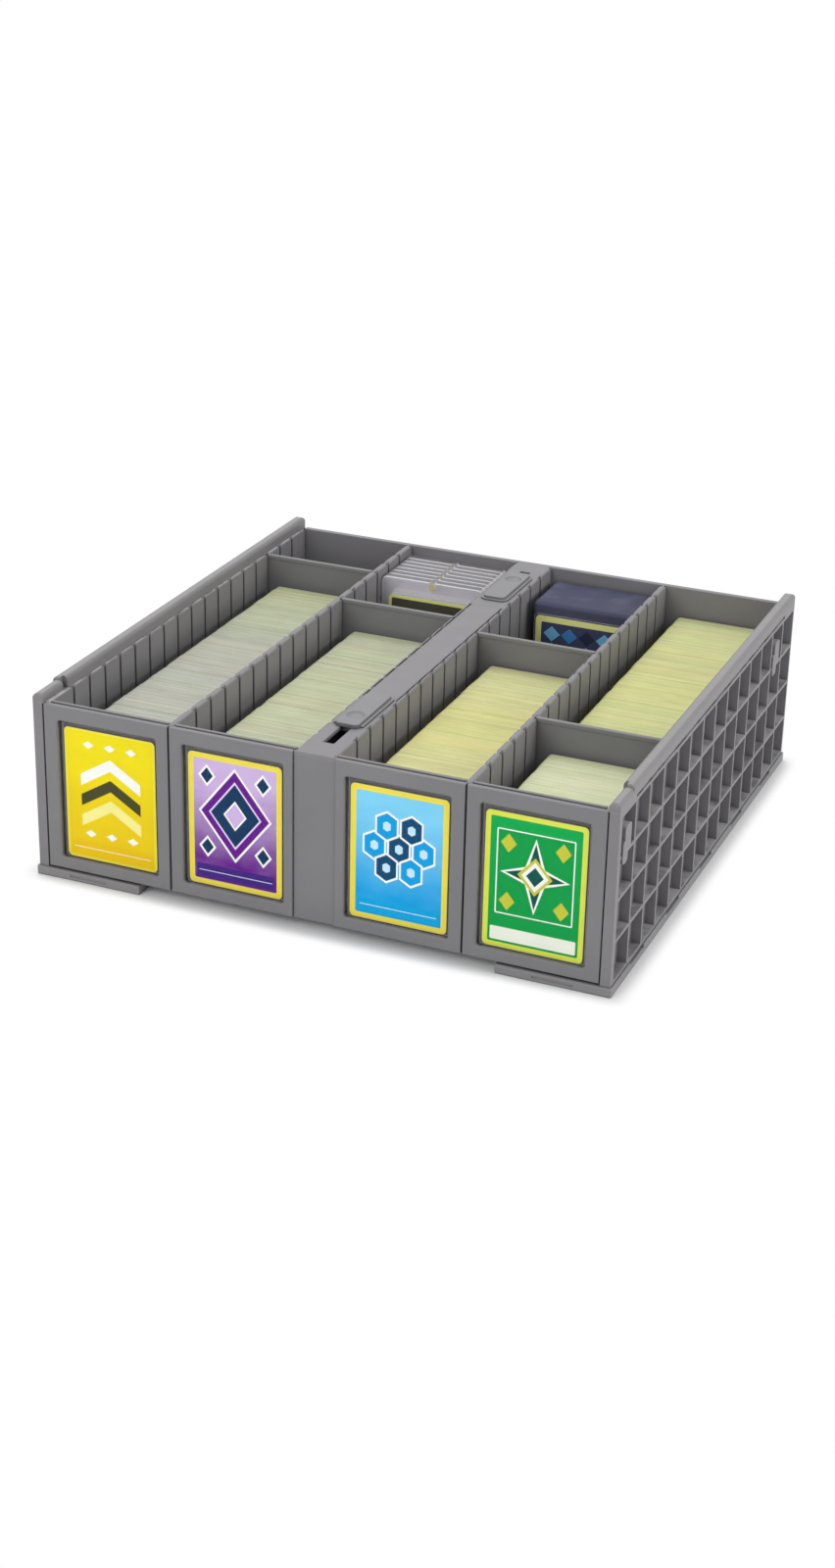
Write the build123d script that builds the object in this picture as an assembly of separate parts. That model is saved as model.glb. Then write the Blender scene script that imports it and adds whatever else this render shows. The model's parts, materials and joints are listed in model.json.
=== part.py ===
"""Card storage bin with four rows, partitions, window labels and a spine with two latches.

Millimetres. X to the right, Y to the back, Z up. The origin is on the table, under the
middle of the bin.
"""
from build123d import *
import os

# Cards, the standard size that everything is built around
card_width = 63.5
card_height = 88.9
card_thick = 0.4
card_corner = 3.0

# Clearances
rest_gap = 0.2
slide_gap = 0.3
groove_end_gap = 0.4
pocket_gap = 0.1
overrun = 5.0

# Label sleeves, clear and stiff
sleeve_play = 1.25
sleeve_edge = 5.1
sleeve_sheet = 0.5
sleeve_pocket_play = 0.4
sleeve_seam = 1.8
sleeve_above = 10.9
sleeve_side_play = 0.5
thumb_radius = 9.0
thumb_drop = 5.0

# Rows, and the walls between them
row_play = 2.9
row_wall_web = 1.3
pad_depth = 1.6
pad_corner = 3.2
pad_round = 1.3
head_room = 20.8

# Partitions, and the guide grooves along a row, measured from the row front
partition_thick = 2.0
partition_bead = 3.2
partition_bead_height = 3.0
partition_edge = 0.5
partition_groove_counts = (14, 11, 10, 4)
groove_first = 26.0
groove_pitch = 20.0
groove_count = 17
groove_last_bay = 22.6

# Floor and base
floor_under = 6.0
floor_thick = 3.0
runner_width = 17.0
runner_proud = 1.0
runner_slot_count = 5
runner_slot_pitch = 71.0
runner_slot_length = 25.5
runner_slot_height = 2.0
runner_slot_depth = 4.0
foot_length = 73.0
foot_depth = 20.0
foot_proud = 1.5
foot_edge = 0.8
foot_relief_length = 26.0
foot_relief_height = 1.6
foot_relief_depth = 0.5

# Front, from the label frames back to the row fronts, and the back panel
frame_thick = 3.0
row_front_thick = 2.0
back_thick = 4.0
frame_lift = 1.2
frame_gap = 1.1
frame_post_gap = 0.9
frame_edge = 0.6
window_sill = 7.8
window_side = 2.6
window_below = 0.45
window_above = 4.6
window_corner = 2.0
window_chamfer = 0.8
guide_drop = 14.0

# Side walls
side_web = 2.0
lattice_depth = 6.4
lattice_columns = 14
lattice_rows = 4
rib_thick = 2.0
front_post = 5.0
post_step = 3.6
rail_gap = 2.2
rail_gap_front = 30.0
rail_gap_rear = 25.0

# Side clips in the top row of the lattice
clip_set = 2.0
clip_width = 11.0
clip_height = 17.0
clip_round = 3.0
clip_nose = 3.0
clip_tail = 4.5
clip_tail_width = 9.0
clip_proud = 0.8
clip_columns = (0, 12)

# Rails
rail_height = 7.8
rail_round = 3.2
rail_inset = 0.2
rail_end_round = 3.0
rail_front_height = 5.8
rail_front_length = 25.0
rail_front_inset = 1.0
rail_notch_length = 4.2
rail_notch_depth = 3.4
round_share = 0.8

# Spine deck, cover and latches
spine_web = 1.3
spine_margin = 3.6
deck_thick = 2.5
deck_edge = 0.6
strip_recess = 1.6
cover_recess = 1.4
cover_groove = 1.2
cover_edge = 0.4
cover_end_gap = 0.15
cover_end = 98.0
latch_slot_width = 7.6
latch_slot_outer = 20.7
latch_shut_gap = 10.3
latch_travel = 15.5
latch_length = 56.0
latch_width = 16.0
latch_rim = 1.9
latch_rim_thick = 0.9
latch_thick = 2.5
latch_corner = 3.4
latch_edge = 0.6
stem_setback = 4.0
stem_length = 30.0
scoop_radius = 12.0
scoop_depth = 1.7
scoop_setback = 15.0
keeper_width = 14.0
keeper_thick = 1.5

# Contents: stacks of cards, clear holders, a deck box and two sleeved cards
stack_front_gap = 1.2
stack_gaps = (5.0, 3.8, 2.0, 3.0)
stack_5_front_gap = 3.0
stack_5_rear_gap = 2.0
holder_side = 7.5
holder_above = 16.1
holder_thick = 6.4
holder_gap = 0.7
holder_count = 7
holder_corner = 5.0
holder_edge = 0.6
holder_rear_gap = 7.5
holder_shift = -1.2
magnet_diameter = 5.0
magnet_thick = 2.0
magnet_drop = 3.4
magnet_wall = 1.5
card_sleeve_side = 1.25
card_sleeve_above = 4.5
card_sleeve_thick = 0.8
row_2_card_shift = -2.5
row_3_card_shift = -1.5
deck_box_side = 6.0
deck_box_shift = 2.0
deck_box_above = 12.8
deck_box_depth = 48.0
deck_box_corner = 3.0
deck_box_rear_gap = 2.0
deck_box_groove = 0.6
deck_box_lid = 22.0

# Worked-out sizes across the bin
sleeve_pocket_width = card_width + 2 * sleeve_play
sleeve_width = sleeve_pocket_width + 2 * sleeve_edge
row_width = sleeve_width + 2 * row_play
row_wall = row_wall_web + 2 * pad_depth
spine_width = latch_width + 2 * latch_rim + 2 * spine_margin
side_wall = pad_depth + side_web + lattice_depth
inner_half = (4 * row_width + 2 * row_wall + spine_width) / 2
bin_half = inner_half + side_wall
row_centre_inner = spine_width / 2 + row_width / 2
row_centre_outer = row_centre_inner + row_width + row_wall
row_centres = (-row_centre_outer, -row_centre_inner, row_centre_inner, row_centre_outer)
row_wall_centre = (row_centre_inner + row_centre_outer) / 2
deck_half = spine_width / 2 - pad_depth
strip_half = spine_width / 2 + frame_gap / 2 - slide_gap

# Worked-out sizes from front to back
sleeve_pocket = card_thick + sleeve_pocket_play
sleeve_thick = sleeve_pocket + 2 * sleeve_sheet
slot_gap = sleeve_thick + 2 * slide_gap
front_pack = frame_thick + slot_gap + row_front_thick
row_length = groove_first + (groove_count - 1) * groove_pitch + groove_last_bay
bin_depth = front_pack + row_length + back_thick
groove_width = partition_thick + 2 * slide_gap
y_front = -bin_depth / 2
y_slot = y_front + frame_thick
y_row_front = y_slot + slot_gap
y_row = y_front + front_pack
y_back_in = y_row + row_length
y_back = bin_depth / 2
grooves = [y_row + groove_first + k * groove_pitch for k in range(groove_count)]
latch_shut_tip = latch_slot_outer + latch_shut_gap
latch_open_tip = latch_shut_tip + latch_travel
cover_reach = y_back - cover_end

# Worked-out heights
floor_top = floor_under + floor_thick
stand = floor_top + rest_gap
wall_top = floor_top + card_height + head_room
deck_under = wall_top - deck_thick
lattice_top = wall_top - rail_gap
frame_bottom = floor_under + frame_lift
window_bottom = frame_bottom + window_sill
window_width = card_width + 2 * window_side
window_height = window_below + card_height + window_above
label_card_bottom = window_bottom + window_below
label_bottom = label_card_bottom - pocket_gap - sleeve_seam
sleeve_height = sleeve_seam + card_height + sleeve_above

# Worked-out sizes of the contents
holder_width = card_width + 2 * holder_side
holder_height = card_height + holder_above
holder_centre = holder_shift - row_centre_inner
holder_rear = y_back_in - holder_rear_gap - holder_thick
holder_fronts = [holder_rear - k * (holder_thick + holder_gap) for k in range(holder_count)]
magnet_height = stand + holder_height - magnet_drop
card_sleeve_width = card_width + 2 * card_sleeve_side
card_sleeve_height = card_height + card_sleeve_above
deck_box_width = card_width + 2 * deck_box_side
deck_box_height = card_height + deck_box_above
deck_box_centre = row_centre_inner + deck_box_shift
deck_box_front = y_back_in - deck_box_rear_gap - deck_box_depth
partition_places = [grooves[k] for k in partition_groove_counts]
stack_start = y_row + stack_front_gap
stack_ends = [y - partition_bead / 2 - gap for y, gap in zip(partition_places, stack_gaps)]
stack_5_start = partition_places[3] + partition_bead / 2 + stack_5_front_gap
stack_5_end = y_back_in - stack_5_rear_gap


def block(x0, x1, y0, y1, z0, z1):
    """A box between two corners."""
    centre = Pos((x0 + x1) / 2, (y0 + y1) / 2, (z0 + z1) / 2)
    return centre * Box(x1 - x0, y1 - y0, z1 - z0)


def side_sheet(sketch, x0, depth):
    """A sketch drawn in Y and Z, raised along X from x0."""
    return extrude(Plane.YZ.offset(x0) * sketch, amount=depth)


def front_sheet(sketch, y0, depth):
    """A sketch drawn in X and Z, raised along Y from y0."""
    return extrude(Plane.XZ.offset(-y0) * sketch, amount=-depth)


def sketch_box(a0, a1, b0, b1):
    """A rectangle between two corners of a sketch."""
    return Pos((a0 + a1) / 2, (b0 + b1) / 2) * Rectangle(a1 - a0, b1 - b0)


def bay_pads(x0, z0, row_side):
    """The guide pads of one wall face, with a groove between each two of them.

    The pads look along X to the row, row_side being the sign of that direction.
    """
    edges = [y_slot]
    for groove in grooves:
        edges += [groove - groove_width / 2, groove + groove_width / 2]
    edges.append(y_back_in)
    pads = Sketch()
    for first, last in zip(edges[0::2], edges[1::2]):
        pads += sketch_box(first, last, z0, wall_top)
    pads = fillet(pads.vertices().group_by(Axis.Y)[-1], pad_corner)
    section = sketch_box(x0, x0 + pad_depth, z0, wall_top)
    shoulder = section.vertices().group_by(Axis.Y)[-1].sort_by(Axis.X)[0 if row_side < 0 else -1]
    section = fillet(shoulder, min(pad_round, round_share * pad_depth))
    return side_sheet(pads, x0, pad_depth) & front_sheet(section, y_slot, y_back_in - y_slot)


def floor_plate():
    """The floor under the four rows."""
    return block(-inner_half, inner_half, y_slot, y_back_in, floor_under, floor_top)


def foot(side, end):
    """A low ledge under one corner, proud of the front or back, with a shallow relief."""
    outer = bin_half + runner_proud
    body = block(outer - foot_length, outer, -foot_depth, foot_proud, 0, floor_under)
    body = fillet(body.edges().filter_by(Axis.X).group_by(Axis.Y)[-1], foot_edge)
    middle = outer - foot_length / 2
    relief = block(
        middle - foot_relief_length / 2,
        middle + foot_relief_length / 2,
        foot_proud - foot_relief_depth,
        foot_proud + overrun,
        (floor_under - foot_relief_height) / 2,
        (floor_under + foot_relief_height) / 2,
    )
    body = Pos(0, y_back, 0) * (body - relief)
    if side < 0:
        body = mirror(body, Plane.YZ)
    if end < 0:
        body = mirror(body, Plane.XZ)
    return body


def base_runner(side):
    """The strip along the foot of a side wall, with long slots under the wall in its outer face."""
    outer = bin_half + runner_proud
    y_end = y_back - foot_depth
    body = block(outer - runner_width, outer, -y_end, y_end, 0, floor_under)
    for k in range(runner_slot_count):
        y = (k - (runner_slot_count - 1) / 2) * runner_slot_pitch
        body -= block(
            outer - runner_slot_depth,
            outer + overrun,
            y - runner_slot_length / 2,
            y + runner_slot_length / 2,
            floor_under - runner_slot_height,
            floor_under + overrun,
        )
    return body if side > 0 else mirror(body, Plane.YZ)


def lattice_cells():
    """The places of the lattice cells: first and last Y, first and last Z of each."""
    y0 = y_front + front_post - rib_thick
    pitch_y = (y_back - y0 - rib_thick) / lattice_columns
    pitch_z = (lattice_top - floor_under - rib_thick) / lattice_rows
    cells = {}
    for column in range(lattice_columns):
        for row in range(lattice_rows):
            ya = y0 + column * pitch_y + rib_thick
            za = floor_under + row * pitch_z + rib_thick
            cells[column, row] = (ya, ya + pitch_y - rib_thick, za, za + pitch_z - rib_thick)
    return cells


def side_wall_panel(side):
    """A side wall: guide pads inside, a web, and an egg-crate lattice outside."""
    x_web = inner_half + pad_depth
    x_ribs = x_web + side_web
    web = block(x_web, x_ribs, y_slot, y_back, floor_under, wall_top)
    pads = bay_pads(inner_half, floor_under, -1)
    outline = sketch_box(y_front, y_back, floor_under, lattice_top)
    for cell in lattice_cells().values():
        outline -= sketch_box(*cell)
    lattice = side_sheet(outline, x_ribs, lattice_depth)
    front_head = block(x_ribs, bin_half, y_front, y_front + rail_gap_front, lattice_top, wall_top)
    rear_head = block(x_ribs, bin_half, y_back - rail_gap_rear, y_back, lattice_top, wall_top)
    post_end = block(inner_half + post_step, bin_half, y_front, y_slot, floor_under, wall_top)
    body = web + pads + lattice + front_head + rear_head + post_end
    return body if side > 0 else mirror(body, Plane.YZ)


def rail(side):
    """A rounded top rail, with a lower, narrower front end behind which its inner side is notched."""
    x0 = inner_half + pad_depth + rail_inset
    y_step = y_front + rail_front_length
    y_notch = y_step + rail_notch_length
    top = wall_top + rail_height

    def bar(height, inset, y0, y1):
        section = sketch_box(x0 + inset, bin_half, wall_top, wall_top + height)
        section = fillet(section.vertices().group_by(Axis.Y)[-1], rail_round)
        return front_sheet(section, y0, y1 - y0)

    body = bar(rail_front_height, rail_front_inset, y_front, y_notch)
    body += bar(rail_height, 0, y_step, y_back)
    body -= block(x0 - overrun, x0 + rail_notch_depth, y_step, y_notch, wall_top - overrun, top + overrun)
    low = sketch_box(y_front, y_back, wall_top, wall_top + rail_front_height)
    low_round = min(rail_end_round, round_share * rail_front_height)
    low = fillet(low.vertices().group_by(Axis.Y)[-1].sort_by(Axis.X)[0], low_round)
    high = sketch_box(y_step, y_back, wall_top, top)
    high_ends = high.vertices().group_by(Axis.Y)[-1].sort_by(Axis.X)
    high = fillet(high_ends[-1], min(rail_end_round, round_share * rail_height))
    high_ends = high.vertices().group_by(Axis.Y)[-1].sort_by(Axis.X)
    high = fillet(high_ends[0], round_share * (rail_height - rail_front_height))
    body = body & side_sheet(low + high, x0, bin_half - x0)
    return body if side > 0 else mirror(body, Plane.YZ)


def side_clip(side, column):
    """A moulded lug that stands on a rib in the top row of the lattice, with a tail over the rib."""
    cell_front, _, za, _ = lattice_cells()[column, lattice_rows - 1]
    front = cell_front + clip_set
    rear = front + clip_nose + clip_width
    head = sketch_box(front + clip_nose, rear, za, za + clip_height)
    head = fillet(head.vertices().group_by(Axis.Y)[-1], clip_round)
    nose = sketch_box(front, rear - clip_round, za, za + clip_height / 2)
    nose = fillet(nose.vertices().sort_by(Axis.X)[:2].sort_by(Axis.Y)[-1], clip_round)
    head += nose
    tail_top = za - rib_thick
    tail = sketch_box(front, front + clip_tail_width, tail_top - clip_tail, tail_top)
    tail = fillet(tail.vertices().group_by(Axis.Y)[0], clip_round)
    strap = sketch_box(front, front + clip_tail_width, tail_top, za)
    body = side_sheet(head, bin_half - lattice_depth, lattice_depth)
    body += side_sheet(tail, bin_half - lattice_depth, lattice_depth)
    body += side_sheet(head + strap + tail, bin_half, clip_proud)
    return body if side > 0 else mirror(body, Plane.YZ)


def row_wall_panel(side):
    """A wall between two rows: a thin web with guide pads on both faces."""
    x0 = row_wall_centre - row_wall_web / 2
    x1 = row_wall_centre + row_wall_web / 2
    body = block(x0, x1, y_slot, y_back_in, floor_top, wall_top)
    body += bay_pads(x0 - pad_depth, floor_top, -1)
    body += bay_pads(x1, floor_top, 1)
    return body if side > 0 else mirror(body, Plane.YZ)


def spine_wall(side):
    """One side of the hollow spine, with guide pads towards its row."""
    body = block(deck_half - spine_web, deck_half, y_slot, y_back_in, floor_top, deck_under)
    body += bay_pads(deck_half, floor_top, 1)
    return body if side > 0 else mirror(body, Plane.YZ)


def spine_deck():
    """The top of the spine between the pads, with a seat for the cover and a slot for each latch."""
    y_lip = y_front + strip_recess
    lip = block(-strip_half, strip_half, y_lip, y_slot, deck_under, wall_top)
    lip = fillet(lip.edges().filter_by(Axis.X).group_by(Axis.Z)[-1].sort_by(Axis.Y)[0], deck_edge)
    body = lip + block(-deck_half, deck_half, y_slot, y_back_in, deck_under, wall_top)
    seat_floor = wall_top - cover_recess
    above = wall_top + overrun
    wide = deck_half + overrun
    body -= block(-wide, wide, -cover_reach, cover_reach, seat_floor, above)
    slot_half = latch_slot_width / 2
    slot_inner = latch_open_tip + stem_setback + stem_length + slide_gap
    for end in (-1, 1):
        ya, yb = sorted((end * (y_back - latch_slot_outer), end * (y_back - slot_inner)))
        body -= block(-slot_half, slot_half, ya, yb, deck_under - overrun, above)
    return body


def spine_cover():
    """The flat plate in the middle of the deck, with a groove along each side of it."""
    half = deck_half - cover_groove
    end = cover_reach - cover_end_gap
    body = block(-half, half, -end, end, wall_top - cover_recess, wall_top)
    return fillet(body.edges().filter_by(Axis.Y).group_by(Axis.Z)[-1], cover_edge)


def spine_front():
    """The recessed strip that closes the front end of the spine."""
    return block(-strip_half, strip_half, y_front + strip_recess, y_slot, frame_bottom, deck_under)


def latch_slide(end):
    """A thumb pad on a thin rim, with the stem that runs in the deck's slot.

    The front latch rests at its inner stop. The rear one rests at its outer stop.
    """
    half = latch_width / 2
    base = wall_top + rest_gap
    tip = latch_open_tip if end < 0 else latch_shut_tip
    inner = tip + latch_length
    rim_outline = sketch_box(-half - latch_rim, half + latch_rim, tip + latch_corner, inner)
    rim_outline = fillet(rim_outline.vertices().group_by(Axis.Y)[-1], latch_corner + latch_rim)
    rim = extrude(Plane.XY.offset(base) * rim_outline, amount=latch_rim_thick)
    pad_outline = fillet(sketch_box(-half, half, tip, inner - latch_rim).vertices(), latch_corner)
    pad = extrude(Plane.XY.offset(base) * pad_outline, amount=latch_thick)
    pad = fillet(pad.edges().group_by(Axis.Z)[-1], latch_edge)
    dish = Sphere(scoop_radius)
    dish = Pos(0, tip + scoop_setback, base + latch_thick + scoop_radius - scoop_depth) * dish
    stem_half = latch_slot_width / 2 - slide_gap
    stem_front = tip + stem_setback
    stem_rear = stem_front + stem_length
    stem = block(-stem_half, stem_half, stem_front, stem_rear, deck_under - slide_gap, base)
    body = Pos(0, y_front, 0) * (rim + pad - dish + stem)
    return body if end < 0 else mirror(body, Plane.XZ)


def latch_keeper(end):
    """The plate under the deck that holds a latch down."""
    tip = latch_open_tip if end < 0 else latch_shut_tip
    half = keeper_width / 2
    front = y_front + tip + stem_setback
    top = deck_under - slide_gap
    body = block(-half, half, front, front + stem_length, top - keeper_thick, top)
    return body if end < 0 else mirror(body, Plane.XZ)


def row_front(row):
    """The inner front wall of one row."""
    x = row_centres[row]
    return block(x - row_width / 2, x + row_width / 2, y_row_front, y_row, floor_top, wall_top)


def label_frame(row):
    """A raised window module, with the sill and the guides for its label behind it."""
    x = row_centres[row]
    if abs(x) > row_wall_centre:
        reach = (row_wall_centre + frame_gap / 2, inner_half + post_step - frame_post_gap)
    else:
        reach = (spine_width / 2 + frame_gap / 2, row_wall_centre - frame_gap / 2)
    x0, x1 = reach if x > 0 else (-reach[1], -reach[0])
    plate = block(x0, x1, y_front, y_slot, frame_bottom, wall_top)
    plate = fillet(plate.faces().sort_by(Axis.Y)[0].edges(), frame_edge)
    window_mid = window_bottom + window_height / 2
    window = Pos(x, window_mid) * RectangleRounded(window_width, window_height, window_corner)
    plate -= front_sheet(window, y_front - overrun, frame_thick + 2 * overrun)
    rim = plate.faces().sort_by(Axis.Y)[0].inner_wires()[0].edges()
    plate = chamfer(rim, window_chamfer)
    sill_top = label_bottom - rest_gap
    half = row_width / 2
    body = plate + block(x - half, x + half, y_slot, y_row_front, floor_top, sill_top)
    guide_in = sleeve_width / 2 + sleeve_side_play
    guide_top = wall_top - guide_drop
    for side in (-1, 1):
        xa, xb = sorted((x + side * guide_in, x + side * half))
        body += block(xa, xb, y_slot, y_row_front, sill_top, guide_top)
    return body


def label_sleeve(row):
    """A clear stiff sleeve, open at the top, with a thumb notch in its front sheet."""
    x = row_centres[row]
    y0 = y_slot + slide_gap
    top = label_bottom + sleeve_height
    outline = sketch_box(x - sleeve_width / 2, x + sleeve_width / 2, label_bottom, top)
    body = front_sheet(outline, y0, sleeve_thick)
    pocket_y = y0 + sleeve_sheet
    pocket_z = label_bottom + sleeve_seam
    half = sleeve_pocket_width / 2
    body -= block(x - half, x + half, pocket_y, pocket_y + sleeve_pocket, pocket_z, top + overrun)
    notch = Pos(x, top + thumb_radius - thumb_drop) * Circle(thumb_radius)
    return body - front_sheet(notch, y0 - overrun, overrun + sleeve_sheet)


def label_card(row):
    """The card inside a label sleeve."""
    middle = label_card_bottom + card_height / 2
    outline = Pos(row_centres[row], middle) * RectangleRounded(card_width, card_height, card_corner)
    return front_sheet(outline, y_slot + slide_gap + sleeve_sheet + pocket_gap, card_thick)


def partition(row):
    """A plate that drops into a pair of grooves, with a bead along its top edge."""
    x = row_centres[row]
    y = partition_places[row]
    top = wall_top - rest_gap
    half = row_width / 2 + pad_depth - groove_end_gap
    half_thick = partition_thick / 2
    body = block(x - half, x + half, y - half_thick, y + half_thick, stand, top)
    bead_half = row_width / 2 - slide_gap
    bead_thick = partition_bead / 2
    bead_under = top - partition_bead_height
    bead = block(x - bead_half, x + bead_half, y - bead_thick, y + bead_thick, bead_under, top)
    return body + fillet(bead.edges().filter_by(Axis.X), partition_edge)


def card_stack(row, y0, y1):
    """The outer shape of a row of standing cards."""
    x = row_centres[row]
    half = card_width / 2
    return block(x - half, x + half, y0, y1, stand, stand + card_height)


def card_holders():
    """Thick clear holders that stand one behind another, each with a boss and a seat for its magnet."""
    middle = stand + holder_height / 2
    outline = RectangleRounded(holder_width, holder_height, holder_corner)
    outline = Pos(holder_centre, middle) * outline
    boss = Pos(holder_centre, magnet_height) * Circle(magnet_diameter / 2 + magnet_wall)
    seat = Pos(holder_centre, magnet_height) * Circle(magnet_diameter / 2 + pocket_gap)
    seat_depth = magnet_thick + pocket_gap
    holders = []
    for y0 in holder_fronts:
        body = front_sheet(outline, y0, holder_thick)
        body = chamfer(body.faces().sort_by(Axis.Y)[0].edges(), holder_edge)
        body += front_sheet(boss, y0, magnet_thick + magnet_wall)
        holders.append(body - front_sheet(seat, y0 - overrun, overrun + seat_depth))
    return Compound(children=holders)


def holder_magnets():
    """The round magnets near the tops of the clear holders."""
    seat = Pos(holder_centre, magnet_height) * Circle(magnet_diameter / 2)
    return Compound(children=[front_sheet(seat, y0, magnet_thick) for y0 in holder_fronts])


def sleeved_card(row, y_behind, shift):
    """A single card in a soft sleeve, standing against what is behind it."""
    middle = Pos(row_centres[row] + shift, stand + card_sleeve_height / 2)
    outline = middle * RectangleRounded(card_sleeve_width, card_sleeve_height, card_corner)
    return front_sheet(outline, y_behind - rest_gap - card_sleeve_thick, card_sleeve_thick)


def deck_box():
    """A rounded box for a deck of cards, with a line where its lid closes."""
    x = deck_box_centre
    half = deck_box_width / 2
    y0 = deck_box_front
    y1 = y0 + deck_box_depth
    top = stand + deck_box_height
    body = fillet(block(x - half, x + half, y0, y1, stand, top).edges(), deck_box_corner)
    seam = top - deck_box_lid
    seam_under = seam - deck_box_groove
    reach = half + overrun
    ring = block(x - reach, x + reach, y0 - overrun, y1 + overrun, seam_under, seam)
    core = half - deck_box_groove
    core_y0 = y0 + deck_box_groove
    core_y1 = y1 - deck_box_groove
    ring -= block(x - core, x + core, core_y0, core_y1, seam_under - overrun, seam + overrun)
    return body - ring


def back_panel():
    """The plain wall behind the rows."""
    return block(-inner_half, inner_half, y_back_in, y_back, floor_under, wall_top)


sides = {"left": -1, "right": 1}
ends = {"front": -1, "rear": 1}
nodes = {"floor_plate": floor_plate(), "back_panel": back_panel()}
for side_name, side in sides.items():
    nodes[f"side_wall_{side_name}"] = side_wall_panel(side)
    nodes[f"top_rail_{side_name}"] = rail(side)
    nodes[f"base_runner_{side_name}"] = base_runner(side)
    nodes[f"row_wall_{side_name}"] = row_wall_panel(side)
    nodes[f"spine_wall_{side_name}"] = spine_wall(side)
    for (end_name, end), column in zip(ends.items(), clip_columns):
        nodes[f"side_clip_{end_name}_{side_name}"] = side_clip(side, column)
        nodes[f"foot_{end_name}_{side_name}"] = foot(side, end)
nodes["spine_deck"] = spine_deck()
nodes["spine_cover"] = spine_cover()
nodes["spine_front"] = spine_front()
for end_name, end in ends.items():
    nodes[f"latch_{end_name}"] = latch_slide(end)
    nodes[f"latch_keeper_{end_name}"] = latch_keeper(end)
for row in range(len(row_centres)):
    nodes[f"row_front_{row + 1}"] = row_front(row)
    nodes[f"label_frame_{row + 1}"] = label_frame(row)
    nodes[f"label_sleeve_{row + 1}"] = label_sleeve(row)
    nodes[f"label_card_{row + 1}"] = label_card(row)
    nodes[f"partition_{row + 1}"] = partition(row)
    nodes[f"card_stack_{row + 1}"] = card_stack(row, stack_start, stack_ends[row])
nodes["card_stack_5"] = card_stack(3, stack_5_start, stack_5_end)
nodes["card_holders"] = card_holders()
nodes["holder_magnets"] = holder_magnets()
nodes["sleeved_card_row_2"] = sleeved_card(1, holder_fronts[-1], row_2_card_shift)
nodes["deck_box"] = deck_box()
nodes["sleeved_card_row_3"] = sleeved_card(2, deck_box_front, row_3_card_shift)

os.makedirs("parts", exist_ok=True)
for name, solid in nodes.items():
    export_step(solid, f"parts/{name}.step")
print(len(nodes), "nodes")
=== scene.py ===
"""Looks of the card storage bin: plastic, rows of cards, labels, clear holders and the studio."""

import json
import logging
import math
import random
from dataclasses import dataclass, replace
from enum import Enum
from functools import cache
from typing import Any, Optional, Protocol, Union

import bpy
from bpy.types import Material, Mesh, Node, NodeOutputs, NodeSocket, NodeTree, Object, World
from mathutils import Matrix, Vector

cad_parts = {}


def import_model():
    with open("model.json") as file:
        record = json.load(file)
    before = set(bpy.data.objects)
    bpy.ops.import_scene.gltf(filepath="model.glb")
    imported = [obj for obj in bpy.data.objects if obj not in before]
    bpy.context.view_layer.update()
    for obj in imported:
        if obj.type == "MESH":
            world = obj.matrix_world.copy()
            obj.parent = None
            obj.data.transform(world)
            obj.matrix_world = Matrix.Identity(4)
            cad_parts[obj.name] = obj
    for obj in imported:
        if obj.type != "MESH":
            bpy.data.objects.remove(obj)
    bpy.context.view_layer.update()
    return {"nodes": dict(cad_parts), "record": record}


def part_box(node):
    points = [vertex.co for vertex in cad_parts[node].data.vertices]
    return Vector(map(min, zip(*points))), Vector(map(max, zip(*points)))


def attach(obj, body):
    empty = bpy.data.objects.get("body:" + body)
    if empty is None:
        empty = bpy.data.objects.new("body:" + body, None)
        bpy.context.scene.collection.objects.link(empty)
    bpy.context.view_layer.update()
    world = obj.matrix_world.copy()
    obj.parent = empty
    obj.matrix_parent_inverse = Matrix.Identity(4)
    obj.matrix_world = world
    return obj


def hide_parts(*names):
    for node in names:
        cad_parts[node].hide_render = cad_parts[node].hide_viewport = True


LOG = logging.getLogger("card_bin")
MM = 0.001
TINT_LAYER = "card_tint"

Colour = tuple[float, float, float]
Spot = tuple[float, float]
Place = tuple[float, float, float]
Span = tuple[float, float]
Feed = Union[NodeSocket, float, tuple[float, ...]]


def srgb(red: int, green: int, blue: int) -> Colour:
    """A colour as a shader takes it, from the eight-bit numbers of a screen.

    Args:
        red: from 0 to 255.
        green: from 0 to 255.
        blue: from 0 to 255.

    Returns:
        The colour.
    """
    return tuple(
        c / 12.92 if c <= 0.04045 else ((c + 0.055) / 1.055) ** 2.4
        for c in (red / 255, green / 255, blue / 255)
    )


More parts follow.
